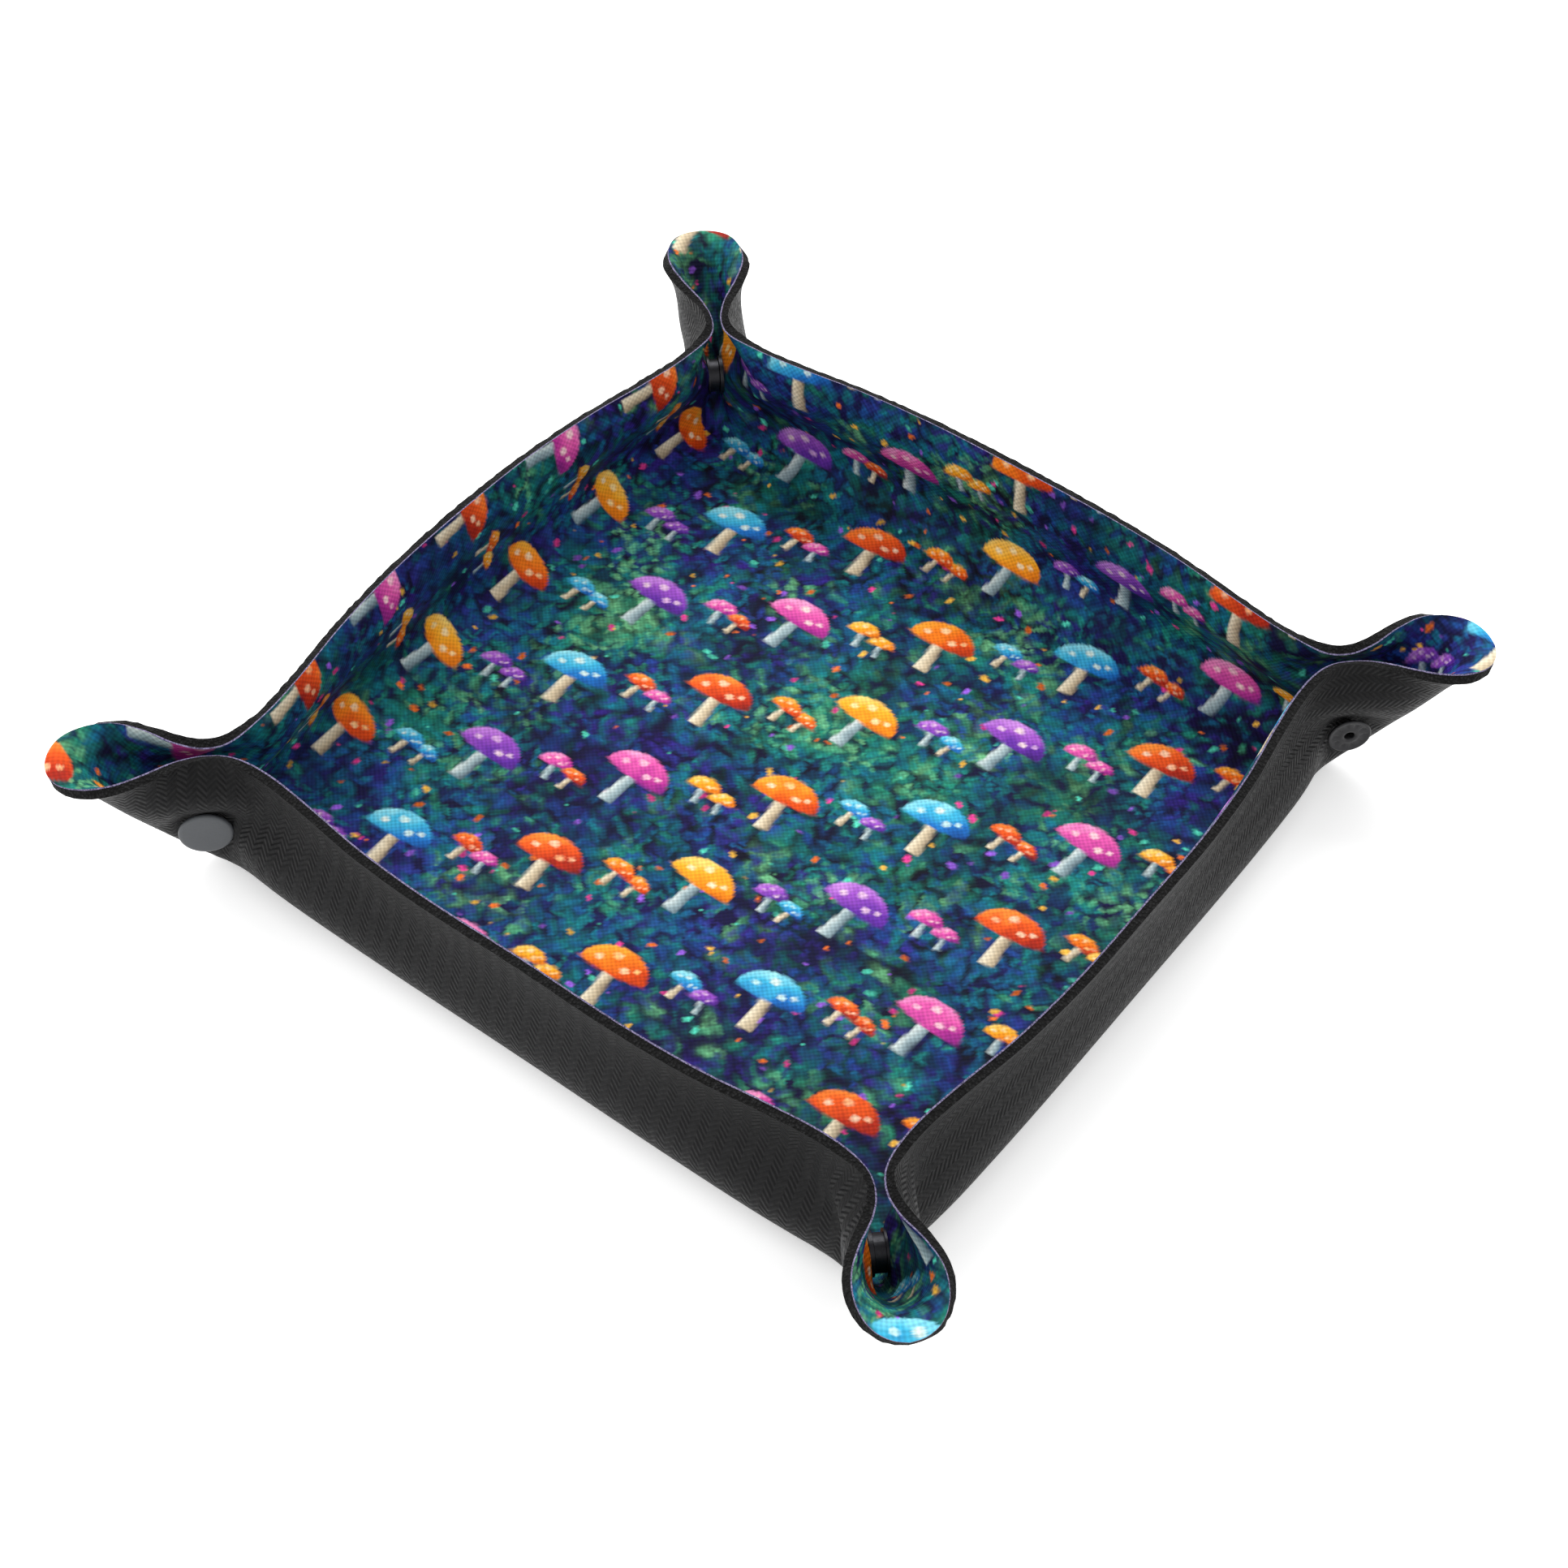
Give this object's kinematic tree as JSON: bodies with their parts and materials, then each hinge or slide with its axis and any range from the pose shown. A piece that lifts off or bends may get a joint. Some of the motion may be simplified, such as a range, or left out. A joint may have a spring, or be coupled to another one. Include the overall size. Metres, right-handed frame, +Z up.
{
  "type": "folding dice tray",
  "caption": "Square folding dice tray: a rubber-backed cloth mat whose corners snap into ears, so its sides stand up as walls and fold down flat.",
  "frame": {"origin": "middle of the underside of the floor, on the surface the tray stands on", "axes": "+Z up, X and Y along the sides of the floor; the front wall is towards -Y and the right wall towards +X"},
  "size_m": [0.2394, 0.2394, 0.0414],
  "materials": {
    "mat": "black rubber underside with a herringbone emboss, printed cloth face",
    "snap_cap": "satin grey enamel",
    "snap_dark": "dark oxidised",
    "snap_metal": "pressed, nickel plated",
    "spring_wire": "drawn wire"
  },
  "bodies": {
    "floor": {"floor_panel": "mat"},
    "right_wall": {"right_wall_panel": "mat"},
    "front_right_ear_right_wall_snap": {"front_right_ear_right_wall_snap_panel": "mat", "front_right_snap_cap": "snap_cap", "front_right_snap_socket": "snap_metal", "front_right_snap_spring": "spring_wire"},
    "front_right_ear_right_wall_flare": {"front_right_ear_right_wall_flare_panel": "mat"},
    "front_right_ear_right_wall_tip": {"front_right_ear_right_wall_tip_panel": "mat"},
    "back_right_ear_right_wall_snap": {"back_right_ear_right_wall_snap_panel": "mat", "back_right_snap_eyelet": "snap_dark", "back_right_snap_stud": "snap_metal"},
    "back_right_ear_right_wall_flare": {"back_right_ear_right_wall_flare_panel": "mat"},
    "back_right_ear_right_wall_tip": {"back_right_ear_right_wall_tip_panel": "mat"},
    "back_wall": {"back_wall_panel": "mat"},
    "back_right_ear_back_wall_snap": {"back_right_ear_back_wall_snap_panel": "mat", "back_right_snap_cap": "snap_cap", "back_right_snap_socket": "snap_metal", "back_right_snap_spring": "spring_wire"},
    "back_right_ear_back_wall_flare": {"back_right_ear_back_wall_flare_panel": "mat"},
    "back_right_ear_back_wall_tip": {"back_right_ear_back_wall_tip_panel": "mat"},
    "back_left_ear_back_wall_snap": {"back_left_ear_back_wall_snap_panel": "mat", "back_left_snap_eyelet": "snap_dark", "back_left_snap_stud": "snap_metal"},
    "back_left_ear_back_wall_flare": {"back_left_ear_back_wall_flare_panel": "mat"},
    "back_left_ear_back_wall_tip": {"back_left_ear_back_wall_tip_panel": "mat"},
    "left_wall": {"left_wall_panel": "mat"},
    "back_left_ear_left_wall_snap": {"back_left_ear_left_wall_snap_panel": "mat", "back_left_snap_cap": "snap_cap", "back_left_snap_socket": "snap_metal", "back_left_snap_spring": "spring_wire"},
    "back_left_ear_left_wall_flare": {"back_left_ear_left_wall_flare_panel": "mat"},
    "back_left_ear_left_wall_tip": {"back_left_ear_left_wall_tip_panel": "mat"},
    "front_left_ear_left_wall_snap": {"front_left_ear_left_wall_snap_panel": "mat", "front_left_snap_eyelet": "snap_dark", "front_left_snap_stud": "snap_metal"},
    "front_left_ear_left_wall_flare": {"front_left_ear_left_wall_flare_panel": "mat"},
    "front_left_ear_left_wall_tip": {"front_left_ear_left_wall_tip_panel": "mat"},
    "front_wall": {"front_wall_panel": "mat"},
    "front_left_ear_front_wall_snap": {"front_left_ear_front_wall_snap_panel": "mat", "front_left_snap_cap": "snap_cap", "front_left_snap_socket": "snap_metal", "front_left_snap_spring": "spring_wire"},
    "front_left_ear_front_wall_flare": {"front_left_ear_front_wall_flare_panel": "mat"},
    "front_left_ear_front_wall_tip": {"front_left_ear_front_wall_tip_panel": "mat"},
    "front_right_ear_front_wall_snap": {"front_right_ear_front_wall_snap_panel": "mat", "front_right_snap_eyelet": "snap_dark", "front_right_snap_stud": "snap_metal"},
    "front_right_ear_front_wall_flare": {"front_right_ear_front_wall_flare_panel": "mat"},
    "front_right_ear_front_wall_tip": {"front_right_ear_front_wall_tip_panel": "mat"}
  },
  "joints": [
    {"name": "front_wall_fold", "type": "hinge", "parent": "floor", "child": "front_wall", "pos_m": [0, -0.093, 0.0024], "axis": [-1, 0, 0], "range_deg": [-86, 0]},
    {"name": "right_wall_fold", "type": "hinge", "parent": "floor", "child": "right_wall", "pos_m": [0.093, 0, 0.0024], "axis": [0, -1, 0], "range_deg": [-86.5, 0.5]},
    {"name": "front_right_ear_right_wall_snap_fold", "type": "hinge", "parent": "right_wall", "child": "front_right_ear_right_wall_snap", "pos_m": [0.0954, -0.0892, 0.0209], "axis": [0, 0, 1], "range_deg": [-43.5, 0.5]},
    {"name": "front_right_ear_right_wall_flare_fold", "type": "hinge", "parent": "front_right_ear_right_wall_snap", "child": "front_right_ear_right_wall_flare", "pos_m": [0.10346, -0.09726, 0.0209], "axis": [0, 0, 1], "range_deg": [-29.17, 0.5]},
    {"name": "front_right_ear_right_wall_tip_fold", "type": "hinge", "parent": "front_right_ear_right_wall_flare", "child": "front_right_ear_right_wall_tip", "pos_m": [0.10895, -0.10122, 0.025], "axis": [-0.3754, 0.1006, -0.9214], "range_deg": [-62.61, 0.5]},
    {"name": "back_right_ear_right_wall_snap_fold", "type": "hinge", "parent": "right_wall", "child": "back_right_ear_right_wall_snap", "pos_m": [0.0954, 0.0892, 0.0209], "axis": [0, 0, -1], "range_deg": [-43.5, 0.5]},
    {"name": "back_right_ear_right_wall_flare_fold", "type": "hinge", "parent": "back_right_ear_right_wall_snap", "child": "back_right_ear_right_wall_flare", "pos_m": [0.10346, 0.09726, 0.0209], "axis": [0, 0, -1], "range_deg": [-29.17, 0.5]},
    {"name": "back_right_ear_right_wall_tip_fold", "type": "hinge", "parent": "back_right_ear_right_wall_flare", "child": "back_right_ear_right_wall_tip", "pos_m": [0.10895, 0.10122, 0.025], "axis": [0.3754, 0.1006, 0.9214], "range_deg": [-62.61, 0.5]},
    {"name": "back_wall_fold", "type": "hinge", "parent": "floor", "child": "back_wall", "pos_m": [0, 0.093, 0.0024], "axis": [1, 0, 0], "range_deg": [-86.5, 0.5]},
    {"name": "back_right_ear_back_wall_snap_fold", "type": "hinge", "parent": "back_wall", "child": "back_right_ear_back_wall_snap", "pos_m": [0.0892, 0.0954, 0.0209], "axis": [0, 0, 1], "range_deg": [-43.5, 0.5]},
    {"name": "back_right_ear_back_wall_flare_fold", "type": "hinge", "parent": "back_right_ear_back_wall_snap", "child": "back_right_ear_back_wall_flare", "pos_m": [0.09726, 0.10346, 0.0209], "axis": [0, 0, 1], "range_deg": [-29.17, 0.5]},
    {"name": "back_right_ear_back_wall_tip_fold", "type": "hinge", "parent": "back_right_ear_back_wall_flare", "child": "back_right_ear_back_wall_tip", "pos_m": [0.10122, 0.10895, 0.025], "axis": [-0.1006, -0.3754, -0.9214], "range_deg": [-62.61, 0.5]},
    {"name": "back_left_ear_back_wall_snap_fold", "type": "hinge", "parent": "back_wall", "child": "back_left_ear_back_wall_snap", "pos_m": [-0.0892, 0.0954, 0.0209], "axis": [0, 0, -1], "range_deg": [-43.5, 0.5]},
    {"name": "back_left_ear_back_wall_flare_fold", "type": "hinge", "parent": "back_left_ear_back_wall_snap", "child": "back_left_ear_back_wall_flare", "pos_m": [-0.09726, 0.10346, 0.0209], "axis": [0, 0, -1], "range_deg": [-29.17, 0.5]},
    {"name": "back_left_ear_back_wall_tip_fold", "type": "hinge", "parent": "back_left_ear_back_wall_flare", "child": "back_left_ear_back_wall_tip", "pos_m": [-0.10122, 0.10895, 0.025], "axis": [-0.1006, 0.3754, 0.9214], "range_deg": [-62.61, 0.5]},
    {"name": "left_wall_fold", "type": "hinge", "parent": "floor", "child": "left_wall", "pos_m": [-0.093, 0, 0.0024], "axis": [0, 1, 0], "range_deg": [-86.5, 0.5]},
    {"name": "back_left_ear_left_wall_snap_fold", "type": "hinge", "parent": "left_wall", "child": "back_left_ear_left_wall_snap", "pos_m": [-0.0954, 0.0892, 0.0209], "axis": [0, 0, 1], "range_deg": [-43.5, 0.5]},
    {"name": "back_left_ear_left_wall_flare_fold", "type": "hinge", "parent": "back_left_ear_left_wall_snap", "child": "back_left_ear_left_wall_flare", "pos_m": [-0.10346, 0.09726, 0.0209], "axis": [0, 0, 1], "range_deg": [-29.17, 0.5]},
    {"name": "back_left_ear_left_wall_tip_fold", "type": "hinge", "parent": "back_left_ear_left_wall_flare", "child": "back_left_ear_left_wall_tip", "pos_m": [-0.10895, 0.10122, 0.025], "axis": [0.3754, -0.1006, -0.9214], "range_deg": [-62.61, 0.5]},
    {"name": "front_left_ear_left_wall_snap_fold", "type": "hinge", "parent": "left_wall", "child": "front_left_ear_left_wall_snap", "pos_m": [-0.0954, -0.0892, 0.0209], "axis": [0, 0, -1], "range_deg": [-43.5, 0.5]},
    {"name": "front_left_ear_left_wall_flare_fold", "type": "hinge", "parent": "front_left_ear_left_wall_snap", "child": "front_left_ear_left_wall_flare", "pos_m": [-0.10346, -0.09726, 0.0209], "axis": [0, 0, -1], "range_deg": [-29.17, 0.5]},
    {"name": "front_left_ear_left_wall_tip_fold", "type": "hinge", "parent": "front_left_ear_left_wall_flare", "child": "front_left_ear_left_wall_tip", "pos_m": [-0.10895, -0.10122, 0.025], "axis": [-0.3754, -0.1006, 0.9214], "range_deg": [-62.61, 0.5]},
    {"name": "front_left_ear_front_wall_snap_fold", "type": "hinge", "parent": "front_wall", "child": "front_left_ear_front_wall_snap", "pos_m": [-0.0892, -0.0954, 0.0209], "axis": [0, 0, 1], "range_deg": [-43.5, 0.5]},
    {"name": "front_left_ear_front_wall_flare_fold", "type": "hinge", "parent": "front_left_ear_front_wall_snap", "child": "front_left_ear_front_wall_flare", "pos_m": [-0.09726, -0.10346, 0.0209], "axis": [0, 0, 1], "range_deg": [-29.17, 0.5]},
    {"name": "front_left_ear_front_wall_tip_fold", "type": "hinge", "parent": "front_left_ear_front_wall_flare", "child": "front_left_ear_front_wall_tip", "pos_m": [-0.10122, -0.10895, 0.025], "axis": [0.1006, 0.3754, -0.9214], "range_deg": [-62.61, 0.5]},
    {"name": "front_right_ear_front_wall_snap_fold", "type": "hinge", "parent": "front_wall", "child": "front_right_ear_front_wall_snap", "pos_m": [0.0892, -0.0954, 0.0209], "axis": [0, 0, -1], "range_deg": [-43.5, 0.5]},
    {"name": "front_right_ear_front_wall_flare_fold", "type": "hinge", "parent": "front_right_ear_front_wall_snap", "child": "front_right_ear_front_wall_flare", "pos_m": [0.09726, -0.10346, 0.0209], "axis": [0, 0, -1], "range_deg": [-29.17, 0.5]},
    {"name": "front_right_ear_front_wall_tip_fold", "type": "hinge", "parent": "front_right_ear_front_wall_flare", "child": "front_right_ear_front_wall_tip", "pos_m": [0.10122, -0.10895, 0.025], "axis": [0.1006, -0.3754, 0.9214], "range_deg": [-62.61, 0.5]}
  ],
  "couplings": [
    {"joint": "right_wall_fold", "follows": "front_wall_fold", "ratio": 1},
    {"joint": "front_right_ear_right_wall_snap_fold", "follows": "front_wall_fold", "ratio": 0.5},
    {"joint": "front_right_ear_right_wall_flare_fold", "follows": "front_wall_fold", "ratio": 0.33333},
    {"joint": "front_right_ear_right_wall_tip_fold", "follows": "front_wall_fold", "ratio": 0.72222},
    {"joint": "back_right_ear_right_wall_snap_fold", "follows": "front_wall_fold", "ratio": 0.5},
    {"joint": "back_right_ear_right_wall_flare_fold", "follows": "front_wall_fold", "ratio": 0.33333},
    {"joint": "back_right_ear_right_wall_tip_fold", "follows": "front_wall_fold", "ratio": 0.72222},
    {"joint": "back_wall_fold", "follows": "front_wall_fold", "ratio": 1},
    {"joint": "back_right_ear_back_wall_snap_fold", "follows": "front_wall_fold", "ratio": 0.5},
    {"joint": "back_right_ear_back_wall_flare_fold", "follows": "front_wall_fold", "ratio": 0.33333},
    {"joint": "back_right_ear_back_wall_tip_fold", "follows": "front_wall_fold", "ratio": 0.72222},
    {"joint": "back_left_ear_back_wall_snap_fold", "follows": "front_wall_fold", "ratio": 0.5},
    {"joint": "back_left_ear_back_wall_flare_fold", "follows": "front_wall_fold", "ratio": 0.33333},
    {"joint": "back_left_ear_back_wall_tip_fold", "follows": "front_wall_fold", "ratio": 0.72222},
    {"joint": "left_wall_fold", "follows": "front_wall_fold", "ratio": 1},
    {"joint": "back_left_ear_left_wall_snap_fold", "follows": "front_wall_fold", "ratio": 0.5},
    {"joint": "back_left_ear_left_wall_flare_fold", "follows": "front_wall_fold", "ratio": 0.33333},
    {"joint": "back_left_ear_left_wall_tip_fold", "follows": "front_wall_fold", "ratio": 0.72222},
    {"joint": "front_left_ear_left_wall_snap_fold", "follows": "front_wall_fold", "ratio": 0.5},
    {"joint": "front_left_ear_left_wall_flare_fold", "follows": "front_wall_fold", "ratio": 0.33333},
    {"joint": "front_left_ear_left_wall_tip_fold", "follows": "front_wall_fold", "ratio": 0.72222},
    {"joint": "front_left_ear_front_wall_snap_fold", "follows": "front_wall_fold", "ratio": 0.5},
    {"joint": "front_left_ear_front_wall_flare_fold", "follows": "front_wall_fold", "ratio": 0.33333},
    {"joint": "front_left_ear_front_wall_tip_fold", "follows": "front_wall_fold", "ratio": 0.72222},
    {"joint": "front_right_ear_front_wall_snap_fold", "follows": "front_wall_fold", "ratio": 0.5},
    {"joint": "front_right_ear_front_wall_flare_fold", "follows": "front_wall_fold", "ratio": 0.33333},
    {"joint": "front_right_ear_front_wall_tip_fold", "follows": "front_wall_fold", "ratio": 0.72222}
  ]
}
